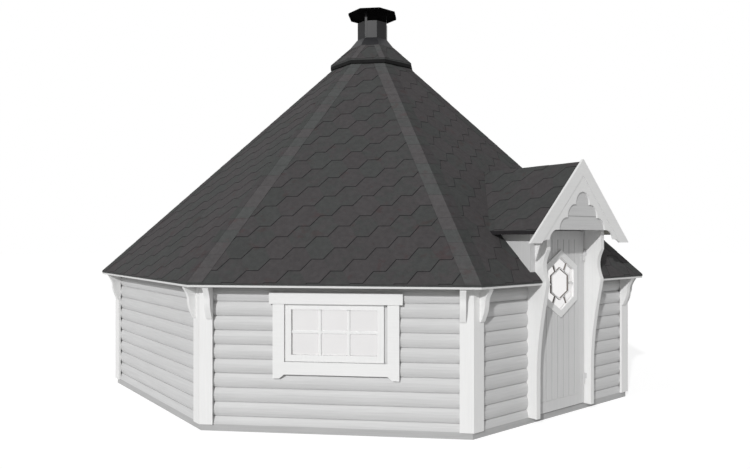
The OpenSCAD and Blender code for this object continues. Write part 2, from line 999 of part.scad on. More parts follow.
// the outline of the glass that shows inside a sash, grown by lap all round
module pane_outline(lap) {
    translate([window_off + pane_left - lap, pane_low - lap])
        square([pane_wide + 2 * lap, pane_h + 2 * lap]);
}

module window_frames() {
    color("whitesmoke")
        at_walls(window_sides)
            facing(frame_front, frame_front - wall_in)
                difference() {
                    frame_outline();
                    pane_outline(sash_lap);
                }
}

module window_sashes() {
    color("white")
        at_walls(window_sides)
            facing(sash_front, sash_depth)
                difference() {
                    translate([window_off + sash_left, sash_low])
                        square([sash_wide, sash_h]);
                    pane_outline(0);
                }
}

module window_glass() {
    color([0.95, 0.95, 0.95, 0.6])
        at_walls(window_sides)
            facing(frame_front - glass_setback, glass_t)
                pane_outline(sash_lap);
}

module window_casings() {
    color("white")
        at_walls(window_sides)
            translate([window_off, 0, 0]) {
                facing(base_apothem + casing_t, casing_t)
                    difference() {
                        polygon([[-casing_half, light_top], [-casing_half, foot_z],
                                 [casing_foot_w - casing_half, foot_z],
                                 [-casing_in, casing_low_z], [casing_in, casing_low_z],
                                 [casing_half - casing_foot_w, foot_z],
                                 [casing_half, foot_z], [casing_half, light_top]]);
                        translate([-casing_in, light_low])
                            square([2 * casing_in, far]);
                    }
                facing(base_apothem + header_t, header_t)
                    translate([-casing_half - header_over, light_top])
                        square([2 * (casing_half + header_over), header_h]);
            }
}

base_frame();
floor_joists();
floor_deck();
door_walls();
window_walls();
plain_walls();
corner_boards();
eave_brackets();
roof_panels();
roof_panel_front();
roof_covering();
hip_caps();
eave_trim();
smoke_collar();
hood_posts();
hood_deck();
hood_covering();
hood_fascia();
chimney_skirt();
chimney_shaft();
cap_straps();
chimney_cap();
porch_side_boards();
porch_cheeks();
porch_deck();
porch_covering();
barge_boards();
scalloped_board();
gable_infill();
door_frame();
over_door_panel();
hinge_plates();
door_leaf();
door_window_frame();
door_glass();
door_hinges();
door_handle();
window_frames();
window_sashes();
window_glass();
window_casings();
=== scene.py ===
import math
import random

import bpy
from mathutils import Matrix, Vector


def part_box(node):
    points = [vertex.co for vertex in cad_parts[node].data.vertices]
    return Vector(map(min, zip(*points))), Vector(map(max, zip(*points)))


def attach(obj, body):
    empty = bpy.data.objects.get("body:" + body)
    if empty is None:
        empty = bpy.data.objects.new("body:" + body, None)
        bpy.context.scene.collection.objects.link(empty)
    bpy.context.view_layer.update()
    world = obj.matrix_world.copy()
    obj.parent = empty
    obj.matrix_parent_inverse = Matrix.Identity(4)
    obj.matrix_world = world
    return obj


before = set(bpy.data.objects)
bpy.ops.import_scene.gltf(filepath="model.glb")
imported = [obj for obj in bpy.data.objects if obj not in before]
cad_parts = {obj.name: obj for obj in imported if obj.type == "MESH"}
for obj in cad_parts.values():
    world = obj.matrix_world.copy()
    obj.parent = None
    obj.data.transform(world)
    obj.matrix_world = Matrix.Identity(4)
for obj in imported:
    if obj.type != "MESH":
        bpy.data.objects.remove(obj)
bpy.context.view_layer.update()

MM = 0.001
ROOT2 = math.sqrt(2)
UP = Vector((0, 0, 1))

# the eight walls are numbered from the door wall, 0, towards its right as seen from outside
WALLS = 8
WALL_TURN = 360 / WALLS
WINDOW_WALLS = (1, 7)

# ---- places taken from the frame -------------------------------------------


def low(node, axis):
    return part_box(node)[0][axis]


def high(node, axis):
    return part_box(node)[1][axis]


# half the width of a wall or roof side, as a share of its distance from the centre
CORNER = math.tan(math.radians(WALL_TURN / 2))
EAVE = high("roof_covering", 0)
EAVE_Z = low("hip_caps", 2)
COVER_RISE = EAVE_Z - low("roof_covering", 2)
ROOF_APEX = EAVE_Z + EAVE
DECK_END = high("roof_panels", 0)
DECK_LOW_Z = low("roof_panels", 2)
HOOD_EAVE = high("hood_covering", 0)
HOOD_EAVE_Z = high("hood_fascia", 2) + COVER_RISE
PORCH_EAVE = high("porch_covering", 0)
PORCH_RIDGE_Z = high("porch_covering", 2)
PORCH_FRONT = -low("porch_covering", 1)
PORCH_SIDE = high("porch_side_boards", 0)
CHEEK_SIDE = high("porch_cheeks", 0)
CHEEK_FRONT = -low("porch_cheeks", 1)
PORCH_LOW_RIDGE_Z = high("over_door_panel", 2)
PORCH_DECK_HALF = high("porch_deck", 0)
HOOD_TOP = high("chimney_skirt", 0)
INFILL_FRONT = -low("gable_infill", 1)
LEAF_HALF = high("door_leaf", 0)
LEAF_FRONT = -low("door_leaf", 1)
LEAF_BACK = -high("door_leaf", 1)
LEAF_LOW_Z = low("door_leaf", 2)
LEAF_TOP_Z = high("door_leaf", 2)
# the door window's centre, and half its frame's width and height
HEX_Z = (low("door_window_frame", 2) + high("door_window_frame", 2)) / 2
HEX_HALF_W = high("door_window_frame", 0)
HEX_HALF_H = high("door_window_frame", 2) - HEX_Z

# ---- sizes of what is added here ---------------------------------------------

# how far most added solids reach into what carries them
SINK = 1 * MM
# square metres, below which a clipped outline is dropped
SMALLEST_AREA = 1e-5

# hexagonal shingles: distance between tabs, height of a course, width of a tab's straight edge;
# a tab is two courses high
TAB_PITCH = 352 * MM
COURSE = 131.5 * MM
TAB_FLAT = 100 * MM
FIRST_COURSE = 15 * MM
LOWEST_COURSE = -2
# height of a tab's upper end above the covering, how much higher its lower end is, and how much
# its surface rises from its middle to its right corner
TAB_LIE = 0.5 * MM
TAB_STEP = 3.2 * MM
TAB_SIDE_STEP = 0.6 * MM
# how far the dark lower layer shows to the right of each tab and below it, and how far it lies
# under the tab's surface; its rim is painted shadow of the tab's edges, wider on the roof sides
# where more shade falls, on the darker lower layer that laminated shingles have
SHADOW_LAYER_DOOR_WALL = (5 * MM, 2 * MM)
SHADOW_LAYER_WINDOW_WALLS = (5 * MM, 4 * MM)
SHADOW_LAYER_ELSEWHERE = (2.5 * MM, 2 * MM)
SHADOW_LAYER_DROP = 0.5 * MM
# how far up the slope tabs and caps start, so that neither reaches past the covering's edge
TAB_START = 3 * MM
CAP_START = 6.5 * MM
# middle of a tab in the first course: on the main roof, the hood and the porch
MAIN_TAB = 206 * MM
HOOD_TAB = 30 * MM
PORCH_TAB = 2537 * MM
# values that shift a tab's colour towards the second colour of its granules
TAB_HUES = (0.2, 0.35, 0.5, 0.6)

# hip caps: their width on each side of a hip, the height of a course's upper end above the
# covering, and how much higher its lower end is
CAP_W = 120 * MM
CAP_LIE = 4.2 * MM
CAP_STEP = 2 * MM
# length of a course, start of the second one, and how far each reaches under the next
CAP_COURSE = 150 * MM
CAP_SECOND = 20 * MM
CAP_LAP = 15 * MM
# how far the caps lap over the tabs, and what they leave free at the top
CAP_LAP_ON_TABS = 10 * MM
CAP_TOP_GAP = 20 * MM
HOOD_CAP_W = 60 * MM
HOOD_CAP_LIE = 4 * MM

# ceiling and floor boards
BOARD_W = 95 * MM
BOARD_GAP = 4 * MM
BOARD_PROUD = 3 * MM
FLOOR_BOARD_PROUD = 2 * MM
CEILING_HIP_GAP = 2 * MM

# seeds of the tabs, caps and boards, to which the wall's number or the side is added; the main
# roof's tabs have none
HOOD_SEED = 20
PORCH_SEED = 30
CAP_SEED = 40
HOOD_CAP_SEED = 50
CEILING_SEED = 60
PORCH_CEILING_SEED = 70

# door: width of the leaf's stiles and upper rail and height of its foot, which have no planks,
# and how deep the ground under the planks lies on both faces
STILE_W = 80 * MM
FOOT_H = 102 * MM
GROUND_DEPTH = 4 * MM
GROUND_FRONT = LEAF_FRONT - GROUND_DEPTH
GROUND_BACK = LEAF_BACK + GROUND_DEPTH
# planks on that ground: place of the first joint, distance and number of joints, and the grooves,
# with the height of the dark strip in each, which is painted shade of the groove
PLANK_FIRST = -200 * MM
PLANK_PITCH = 84.6 * MM
PLANK_JOINTS = 6
PLANK_PROUD = 3 * MM
GROOVE_W = 7 * MM
GROOVE_SHADE_PROUD = 0.4 * MM
# dark seal at the leaf's lower edge, whose black is painted shade under the door, and how much
# of its height lies inside the leaf
SHADE_SEAL_H = 10 * MM
SHADE_SEAL_T = 8 * MM
SHADE_SEAL_IN_LEAF = 6 * MM

# door window: half the length of its frame's upright sides, and the inset of the hole in the planks
HEX_SIDE_HALF = 156 * MM
HEX_FRAME = (HEX_HALF_W, HEX_HALF_H, HEX_SIDE_HALF)
HEX_CLEAR = 28 * MM
# leading in front of the glass: the ring's half width, half height and half its upright sides
LEAD_RING = (131 * MM, 149 * MM, 78 * MM)
LEAD_W = 14 * MM
LEAD_SINK = 0.5 * MM
LEAD_PROUD = 8 * MM
# both ends of a slanting bar, across and up from the window's centre, and of a level one, across
LEAD_SPOKE = ((62 * MM, 108 * MM), (104 * MM, 184 * MM))
LEAD_ARM = (124 * MM, 196 * MM)

# outer pane of the door window's double glazing
OUTER_PANE_INSET = 42 * MM
OUTER_PANE_T = 5 * MM

# windows: the left and right end of the glass that shows, how much of it the sash covers below
# and above, its front, and the bars on it
PANE_LEFT = -355.5 * MM
PANE_RIGHT = 360.5 * MM
PANE_COVERED = 10 * MM
PANE_FRONT = 2703 * MM
PANES_ACROSS = 3
BAR_W = 18 * MM
BAR_T = 12 * MM
BAR_LIP_W = 26 * MM
BAR_LIP_T = 5 * MM
CROSS_BAR_SETBACK = 0.5 * MM

# dark strips on the porch's eaves
DRIP_PROUD = 1 * MM

# gable infill: joint between its two boards
INFILL_JOINT_Z = 1803 * MM
INFILL_GAP = 6 * MM
INFILL_PROUD = 2 * MM


# ---- mesh building ----------------------------------------------------------

class Plane:
    """A flat place to build on: along and up lie in it, out points away from it."""

    def __init__(self, origin, along, up):
        self.origin = origin
        self.along = along
        self.up = up
        self.out = along.cross(up)

    def point(self, u, v, w):
        return self.origin + self.along * u + self.up * v + self.out * w


class Build:
    """Closed flat-sided solids collected for one object, with a tone for each of them."""

    def __init__(self):
        self.verts = []
        self.faces = []
        self.slots = []
        self.tones = []

    def solid(self, plane, outline, top, bottom, slots=(0, 0), tone=(0.5, 0.5)):
        """outline is counter-clockwise in (u, v); top and bottom give w at (u, v)."""
        first = len(self.verts)
        n = len(outline)
        self.verts += [plane.point(u, v, bottom(u, v)) for u, v in outline]
        self.verts += [plane.point(u, v, top(u, v)) for u, v in outline]
        self.faces.append([first + i for i in reversed(range(n))])
        self.faces.append([first + n + i for i in range(n)])
        for i in range(n):
            j = (i + 1) % n
            self.faces.append([first + i, first + j, first + n + j, first + n + i])
        self.slots += [slots[1], slots[0]] + [slots[1]] * n
        self.tones += [tone] * (n + 2)

    def make(self, name, body, materials):
        mesh = bpy.data.meshes.new(name)
        mesh.from_pydata(self.verts, [], self.faces)
        for material in materials:
            mesh.materials.append(material)
        mesh.polygons.foreach_set("material_index", self.slots)
        layer = mesh.attributes.new("tone", "FLOAT_COLOR", "CORNER")
        for face, (shade, hue) in zip(mesh.polygons, self.tones):
            for corner in face.loop_indices:
                layer.data[corner].color = (shade, hue, 0, 1)
        mesh.validate()
        obj = bpy.data.objects.new(name, mesh)
        bpy.context.scene.collection.objects.link(obj)
        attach(obj, body)
        return obj


def flat(w):
    return lambda u, v: w


def clip(outline, a, b, c):
    """The part of a convex outline where a * u + b * v <= c."""
    kept = []
    for i, (u, v) in enumerate(outline):
        u2, v2 = outline[(i + 1) % len(outline)]
        here = a * u + b * v - c
        there = a * u2 + b * v2 - c
        if here <= 0:
            kept.append((u, v))
        if here * there < 0:
            part = here / (here - there)
            kept.append((u + part * (u2 - u), v + part * (v2 - v)))
    return kept


def area(outline):
    return sum(u * v2 - u2 * v for (u, v), (u2, v2) in zip(outline, outline[1:] + outline[:1])) / 2


def clip_all(outline, region):
    for a, b, c in region:
        outline = clip(outline, a, b, c)
        if len(outline) < 3:
            return []
    return outline if area(outline) > SMALLEST_AREA else []


def rectangle(u0, u1, v0, v1):
    return [(u0, v0), (u1, v0), (u1, v1), (u0, v1)]


def wall_plane(k, apothem, z):
    """Upright plane of wall k."""
    a = math.radians(WALL_TURN * k)
    out = Vector((math.sin(a), -math.cos(a), 0))
    along = Vector((math.cos(a), math.sin(a), 0))
    return Plane(out * apothem + UP * z, along, UP.copy())


def slope_plane(k, apothem, z):
    """45-degree roof plane of wall k, whose origin is the middle of its eave."""
    wall = wall_plane(k, apothem, z)
    return Plane(wall.origin, wall.along, (UP - wall.out) / ROOT2)


def hip_region(apothem, from_hip):
    """Between both hips of a roof side, less a distance from them."""
    lean = CORNER / ROOT2
    reach = apothem * CORNER - from_hip * math.hypot(1, lean)
    return [(1, lean, reach), (-1, lean, reach)]


def outside(region):
    """Convex parts of all that lies outside a convex region."""
    return [region[:i] + [(-a, -b, -c)] for i, (a, b, c) in enumerate(region)]


def around_porch(ridge_z, eave_z):
    """Parts of the door wall's roof side that lie outside the porch under a ridge."""
    rise = ridge_z - eave_z
    parts = outside([(1, 0, CHEEK_SIDE), (-1, 0, CHEEK_SIDE),
                     (1, 1 / ROOT2, rise), (-1, 1 / ROOT2, rise)])
    # beside the porch's side boards, the strips of eave in front of its cheeks
    below_cheek = (EAVE - CHEEK_FRONT) * ROOT2
    for side in (-1, 1):
        parts.append([(side, 0, CHEEK_SIDE), (-side, 0, -PORCH_SIDE), (0, 1, below_cheek)])
    return parts


def hexagon(half_w, half_h, side_half, inset=0.0):
    """A hexagon with upright sides and points at the top and bottom, counter-clockwise."""
    slope = (half_h - side_half) / half_w
    top = half_h - inset * math.hypot(1, slope)
    edge = half_w - inset
    bend = top - slope * edge
    return [(0, -top), (edge, -bend), (edge, bend), (0, top), (-edge, bend), (-edge, -bend)]


def moved(outline, u, v):
    return [(a + u, b + v) for a, b in outline]


def region_of(outline):
    """The half-planes whose common part is a counter-clockwise outline."""
    region = []
    for (u, v), (u2, v2) in zip(outline, outline[1:] + outline[:1]):
        a, b = v2 - v, u - u2
        region.append((a, b, a * u + b * v))
    return region


def strip(start, end, width):
    """A straight bar of a width between two points, counter-clockwise."""
    du, dv = end[0] - start[0], end[1] - start[1]
    reach = width / 2 / math.hypot(du, dv)
    a, b = dv * reach, -du * reach
    return [(start[0] + a, start[1] + b), (end[0] + a, end[1] + b),
            (end[0] - a, end[1] - b), (start[0] - a, start[1] - b)]


# ---- materials --------------------------------------------------------------

# scales of the noises, in spots per metre
PAINT_CLOUD = 1.7
MOTTLE = 13
GRAIN = 420
DRIFT = 22
BLOTS = 7
METAL_CLOUD = 14
GLASS_CLOUD = 3
# how strong the finer parts of every noise are
NOISE_ROUGHNESS = 0.6
# share of the colour that is left where a noise or a tab's tone is darkest, or a blot reddest
PAINT_DARK = 0.97
TAB_DARK = 0.93
GRAIN_DARK = 0.72
DRIFT_DARK = 0.84
METAL_DARK = 0.75
BLOT_RED = (1, 0.86, 0.86)
# where a ramp starts and ends
WIDE_RAMP = (0.3, 0.7)
DRIFT_RAMP = (0.35, 0.65)
BLOT_RAMP = (0.6, 0.68)
HUE_RAMP = (0.75, 1)
FULL_RAMP = (0, 1)
# finish of timber and granules
TIMBER_ROUGH = 0.55
GRANULE_ROUGH = 0.92
GRANULE_SPECULAR = 0.12
# strengths and depths of the bumps
FIBRE_BUMP = 0.35
FIBRE_DEPTH = 0.4 * MM
GRAIN_BUMP = 0.5
GRAIN_DEPTH = 0.6 * MM
GLASS_BUMP = 0.05
GLASS_DEPTH = 1 * MM


def even(value):
    """One value three times, for a grey or for a scale along X, Y and Z."""
    return (value, value, value)


def socket_values(node, values):
    for name, value in values.items():
        node.inputs[name].default_value = value


def principled(name, rgb, rough, **extra):
    material = bpy.data.materials.new(name)
    material.use_nodes = True
    shader = material.node_tree.nodes["Principled BSDF"]
    socket_values(shader, {"Base Color": (*rgb, 1), "Roughness": rough})
    socket_values(shader, {key.replace("_", " "): value for key, value in extra.items()})
    return material, shader


def add_node(material, kind, **settings):
    node = material.node_tree.nodes.new(kind)
    for key, value in settings.items():
        setattr(node, key, value)
    return node


def link(material, a, b):
    material.node_tree.links.new(a, b)


def stretched_noise(material, scale, detail):
    """Noise with a scale, in spots per metre, along each of X, Y and Z."""
    where = add_node(material, "ShaderNodeTexCoord")
    mapping = add_node(material, "ShaderNodeMapping")
    mapping.inputs["Scale"].default_value = scale
    noise = add_node(material, "ShaderNodeTexNoise")
    socket_values(noise, {"Scale": 1, "Detail": detail, "Roughness": NOISE_ROUGHNESS})
    link(material, where.outputs["Object"], mapping.inputs["Vector"])
    link(material, mapping.outputs["Vector"], noise.inputs["Vector"])
    return noise


def ramp(material, source, dark, light, span=WIDE_RAMP):
    node = add_node(material, "ShaderNodeValToRGB")
    for element, position, rgb in zip(node.color_ramp.elements, span, (dark, light)):
        element.position = position
        element.color = (*rgb, 1)
    link(material, source, node.inputs["Fac"])
    return node


def multiply(material, a, b):
    node = add_node(material, "ShaderNodeMix", data_type="RGBA", blend_type="MULTIPLY")
    node.inputs["Factor"].default_value = 1
    link(material, a, node.inputs["A"])
    link(material, b, node.inputs["B"])
    return node.outputs["Result"]


def bump(material, shader, height, strength, distance):
    node = add_node(material, "ShaderNodeBump")
    socket_values(node, {"Strength": strength, "Distance": distance})
    link(material, height, node.inputs["Height"])
    link(material, node.outputs["Normal"], shader.inputs["Normal"])


def timber(name, rgb, grain, contrast):
    """Painted or bare timber whose grain runs along the axis with the small scale."""
    material, shader = principled(name, rgb, TIMBER_ROUGH)
    fibres = stretched_noise(material, grain, detail=6)
    cloud = stretched_noise(material, even(PAINT_CLOUD), detail=2)
    dark = tuple(c * (1 - contrast) for c in rgb)
    light = tuple(min(1, c * (1 + contrast)) for c in rgb)
    colour = ramp(material, fibres.outputs["Fac"], dark, light)
    patch = ramp(material, cloud.outputs["Fac"], even(PAINT_DARK), even(1))
    mixed = multiply(material, colour.outputs["Color"], patch.outputs["Color"])
    link(material, mixed, shader.inputs["Base Color"])
    bump(material, shader, fibres.outputs["Fac"], FIBRE_BUMP, FIBRE_DEPTH)
    return material


def granules(name, grey, brown):
    """Mineral granules in two mixed colours, here and there redder; a solid's tone shifts both."""
    material, shader = principled(name, grey, GRANULE_ROUGH, Specular_IOR_Level=GRANULE_SPECULAR)
    tone = add_node(material, "ShaderNodeAttribute", attribute_name="tone")
    parts = add_node(material, "ShaderNodeSeparateColor")
    link(material, tone.outputs["Color"], parts.inputs["Color"])
    mottle = stretched_noise(material, even(MOTTLE), detail=4)
    add = add_node(material, "ShaderNodeMath", operation="ADD")
    link(material, mottle.outputs["Fac"], add.inputs[0])
    link(material, parts.outputs["Green"], add.inputs[1])
    hue = ramp(material, add.outputs["Value"], grey, brown, HUE_RAMP)
    shade = ramp(material, parts.outputs["Red"], even(TAB_DARK), even(1), FULL_RAMP)
    grain = stretched_noise(material, even(GRAIN), detail=2)
    speck = ramp(material, grain.outputs["Fac"], even(GRAIN_DARK), even(1))
    drift = stretched_noise(material, even(DRIFT), detail=5)
    patch = ramp(material, drift.outputs["Fac"], even(DRIFT_DARK), even(1), DRIFT_RAMP)
    blot = stretched_noise(material, even(BLOTS), detail=4)
    red = ramp(material, blot.outputs["Fac"], even(1), BLOT_RED, BLOT_RAMP)
    colour = hue.outputs["Color"]
    for layer in (shade, speck, patch, red):
        colour = multiply(material, colour, layer.outputs["Color"])
    link(material, colour, shader.inputs["Base Color"])
    bump(material, shader, grain.outputs["Fac"], GRAIN_BUMP, GRAIN_DEPTH)
    return material


def coated_metal(name, rgb, rough, **extra):
    """Coated metal, or bitumen, with slight clouds in its colour."""
    material, shader = principled(name, rgb, rough, **extra)
    cloud = stretched_noise(material, even(METAL_CLOUD), detail=3)
    dark = tuple(c * METAL_DARK for c in rgb)
    colour = ramp(material, cloud.outputs["Fac"], dark, rgb)
    link(material, colour.outputs["Color"], shader.inputs["Base Color"])
    return material


def pale_glass(name, dark, light, metallic, rough):
    """Coated glass that shows the bright surroundings instead of the dark room."""
    material, shader = principled(name, light, rough, Metallic=metallic)
    cloud = stretched_noise(material, even(GLASS_CLOUD), detail=2)
    colour = ramp(material, cloud.outputs["Fac"], dark, light)
    link(material, colour.outputs["Color"], shader.inputs["Base Color"])
    bump(material, shader, cloud.outputs["Fac"], GLASS_BUMP, GLASS_DEPTH)
    return material


# spots of the grain per metre along X, Y and Z: few along the fibres, many across them
LEVEL_GRAIN = (2.5, 2.5, 90)
UPRIGHT_GRAIN = (80, 80, 2.5)
DEPTH_GRAIN = (90, 2.5, 90)

WHITE = (0.79, 0.79, 0.785)
# timber: colour, grain and contrast
TIMBERS = {
    "upright_white": (WHITE, UPRIGHT_GRAIN, 0.02),
    "level_white": (WHITE, LEVEL_GRAIN, 0.02),
    "trim_white": ((0.67, 0.67, 0.665), LEVEL_GRAIN, 0.03),
    # white painted darker: painted shade in the window frames' deep reveal
    "white_painted_shade": (even(0.62), UPRIGHT_GRAIN, 0.03),
    "log_paint": (even(0.57), LEVEL_GRAIN, 0.06),
    "door_paint": (even(0.62), UPRIGHT_GRAIN, 0.04),
    # dark grey for the strips in the grooves and joints: painted shade
    "groove": (even(0.3), UPRIGHT_GRAIN, 0.1),
    "base_paint": (even(0.41), LEVEL_GRAIN, 0.08),
    "bar_edge": ((0.12, 0.10, 0.09), UPRIGHT_GRAIN, 0.1),
    "bare_wood": ((0.52, 0.40, 0.27), DEPTH_GRAIN, 0.18),
    "stained_wood": ((0.29, 0.285, 0.26), LEVEL_GRAIN, 0.15),
    "porch_wood": ((0.42, 0.415, 0.37), LEVEL_GRAIN, 0.12),
}
# granules: the two colours
GRANULES = {
    "shingle": ((0.0805, 0.083, 0.082), (0.087, 0.0815, 0.0835)),
    "plain_cap": ((0.074, 0.078, 0.076), (0.079, 0.075, 0.077)),
    # the paler caps are painted light, for the halves of the caps over the windows
    "cap_painted_light": ((0.108, 0.112, 0.111), (0.115, 0.109, 0.111)),
}
# coated metal and bitumen: colour, roughness and specular level
COATINGS = {
    "bitumen": ((0.026, 0.024, 0.026), 0.9, 0.1),
    "black_metal": ((0.008, 0.008, 0.009), 0.38, 0.25),
    "skirt_metal": ((0.012, 0.012, 0.014), 0.5, 0.4),
    "dull_black": (even(0.014), 0.8, 0.1),
    "matt_black": (even(0.002), 0.9, 0.02),
}
# glass: dark colour, light colour, metallic and roughness
PANES = {
    "window_glass": ((0.78, 0.77, 0.77), (0.81, 0.80, 0.80), 0.8, 0.08),
    "outer_pane": ((0.86, 0.85, 0.85), (0.90, 0.89, 0.885), 0.95, 0.06),
    "door_glass": ((0.90, 0.88, 0.88), (0.93, 0.92, 0.915), 0.9, 0.75),
}
MATERIALS = {name: timber(name, *values) for name, values in TIMBERS.items()}
MATERIALS |= {name: granules(name, *colours) for name, colours in GRANULES.items()}
MATERIALS |= {name: pale_glass(name, *values) for name, values in PANES.items()}
for name, (rgb, rough, specular) in COATINGS.items():
    MATERIALS[name] = coated_metal(name, rgb, rough, Specular_IOR_Level=specular)
MATERIALS["fittings"] = coated_metal("fittings", even(0.3), 0.35, Metallic=0.9)

NODE_MATERIALS = {
    "upright_white": ("corner_boards", "eave_brackets", "porch_side_boards",
                      "window_sashes", "door_window_frame"),
    # the window frames show only in a deep reveal, so their white carries painted shade
    "white_painted_shade": ("window_frames",),
    "trim_white": ("eave_trim",),
    "level_white": ("barge_boards", "scalloped_board", "window_casings"),
    "log_paint": ("door_walls", "window_walls", "plain_walls", "gable_infill"),
    "door_paint": ("porch_cheeks", "door_frame", "over_door_panel", "door_leaf",
                   "door_hinges", "hinge_plates"),
    "base_paint": ("base_frame",),
    "bare_wood": ("floor_joists", "floor_deck", "smoke_collar", "hood_posts", "hood_deck"),
    "stained_wood": ("roof_panels", "roof_panel_front"),
    "porch_wood": ("porch_deck",),
    "shingle": ("roof_covering", "hood_covering", "porch_covering"),
    "plain_cap": ("hip_caps",),
    "black_metal": ("chimney_shaft", "cap_straps"),
    "skirt_metal": ("chimney_skirt",),
    "dull_black": ("hood_fascia",),
    "matt_black": ("chimney_cap",),
    "fittings": ("door_handle",),
    "door_glass": ("door_glass",),
    "window_glass": ("window_glass",),
}


def dress_nodes():
    for name, nodes in NODE_MATERIALS.items():
        for node in nodes:
            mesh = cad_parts[node].data
            mesh.materials.clear()
            mesh.materials.append(MATERIALS[name])


# ---- roof -------------------------------------------------------------------

def tab_outline(middle, course_v):
    side = TAB_PITCH / 2 - TAB_FLAT / 2
    return [(middle - TAB_FLAT / 2, course_v),
            (middle + TAB_FLAT / 2, course_v),
            (middle + side, course_v + COURSE),
            (middle + TAB_FLAT / 2, course_v + 2 * COURSE),
            (middle - TAB_FLAT / 2, course_v + 2 * COURSE),
            (middle - side, course_v + COURSE)]


def shingle_field(build, plane, reach, first_middle, regions, chance, shadow_offset=SHADOW_LAYER_ELSEWHERE):
    """Hexagonal tabs over the part of a plane within regions; reach is (u0, u1, v1)."""
    u0, u1, v1 = reach
    right, down = shadow_offset
    for course in range(LOWEST_COURSE, math.ceil(v1 / COURSE)):
        course_v = FIRST_COURSE + course * COURSE
        start = first_middle + (course % 2) * TAB_PITCH / 2
        first = math.floor((u0 - start) / TAB_PITCH)
        last = math.ceil((u1 - start) / TAB_PITCH)
        for i in range(first, last + 1):
            middle = start + i * TAB_PITCH
            tone = (chance.random(), chance.choice(TAB_HUES))

            def lie(u, v):
                rise = TAB_STEP * (1 - (v - course_v) / (2 * COURSE))
                return TAB_LIE + rise + TAB_SIDE_STEP * (u - middle) / (TAB_PITCH / 2)

            def lower(u, v):
                return lie(u, v) - SHADOW_LAYER_DROP

            outline = tab_outline(middle, course_v)
            # the dark layer's rim to the right of the tab and below it is painted shadow of the
            # tab's edges
            layer = moved(outline, right, -down)
            for region in regions:
                shown = clip_all(outline, region)
                under = clip_all(layer, region)
                if shown:
                    build.solid(plane, shown, lie, flat(-SINK), (0, 0), tone)
                if under:
                    build.solid(plane, under, lower, flat(-SINK), (1, 1))


def main_shingles():
    top = (EAVE - high("hood_posts", 0)) * ROOT2
    half = EAVE * CORNER
    for k in range(WALLS):
        region = hip_region(EAVE, CAP_W - CAP_LAP_ON_TABS) + [(0, -1, -TAB_START), (0, 1, top)]
        regions = [region]
        # the painted shadow under the tabs is set per roof side, wider where more shade falls
        shadow_offset = SHADOW_LAYER_ELSEWHERE
        if k == 0:
            regions = [region + part for part in around_porch(PORCH_RIDGE_Z, EAVE_Z)]
            shadow_offset = SHADOW_LAYER_DOOR_WALL
        elif k in WINDOW_WALLS:
            shadow_offset = SHADOW_LAYER_WINDOW_WALLS
        build = Build()
        shingle_field(build, slope_plane(k, EAVE, EAVE_Z), (-half, half, top), MAIN_TAB, regions,
                      random.Random(k), shadow_offset)
        build.make(f"roof_shingles_{k}", "cabin",
                   [MATERIALS["shingle"], MATERIALS["bitumen"]])


def hood_shingles():
    top = (HOOD_EAVE - HOOD_TOP) * ROOT2
    half = HOOD_EAVE * CORNER
    build = Build()
    for k in range(WALLS):
        region = hip_region(HOOD_EAVE, HOOD_CAP_W - CAP_LAP_ON_TABS)
        region += [(0, -1, -TAB_START), (0, 1, top)]
        shingle_field(build, slope_plane(k, HOOD_EAVE, HOOD_EAVE_Z), (-half, half, top),
                      HOOD_TAB, [region], random.Random(HOOD_SEED + k))
    build.make("hood_shingles", "cabin", [MATERIALS["shingle"], MATERIALS["bitumen"]])


def porch_shingles():
    eave_z = PORCH_RIDGE_Z - PORCH_EAVE
    top = PORCH_EAVE * ROOT2
    valley = eave_z - ROOF_APEX
    for side, name in ((-1, "left"), (1, "right")):
        plane = Plane(Vector((side * PORCH_EAVE, 0, eave_z)), Vector((0, side, 0)),
                      Vector((-side, 0, 1)) / ROOT2)
        # u runs to the front on the left slope and to the back on the right one
        region = [(0, -1, -TAB_START), (0, 1, top),
                  (-side, 0, PORCH_FRONT), (side, -1 / ROOT2, valley)]
        reach = (0, PORCH_FRONT) if side < 0 else (-PORCH_FRONT, 0)
        build = Build()
        shingle_field(build, plane, (*reach, top), -side * PORCH_TAB, [region],
                      random.Random(PORCH_SEED + side))
        build.make(f"porch_shingles_{name}", "cabin",
                   [MATERIALS["shingle"], MATERIALS["bitumen"]])


def cap_courses(build, plane, apothem, side, width, lie, top, slot, chance):
    """Capping pieces along one hip, on one of its two sides."""
    lean = CORNER / ROOT2
    wide = width * math.hypot(1, lean)
    count = math.ceil(top / CAP_COURSE)
    starts = [CAP_START] + [CAP_SECOND + i * CAP_COURSE for i in range(count)]
    for v0, v1 in zip(starts, starts[1:] + [top]):
        v1 = min(v1 + CAP_LAP, top)
        if v1 <= v0:
            continue
        outer = [apothem * CORNER - v * lean for v in (v0, v1)]
        outline = [(outer[0] - wide, v0), (outer[0], v0), (outer[1], v1), (outer[1] - wide, v1)]
        if side < 0:
            outline = [(-u, v) for u, v in reversed(outline)]

        def surface(u, v):
            return lie + CAP_STEP * (1 - (v - v0) / (v1 - v0))

        tone = (chance.random(), chance.random())
        build.solid(plane, outline, surface, flat(-SINK), (slot, slot), tone)


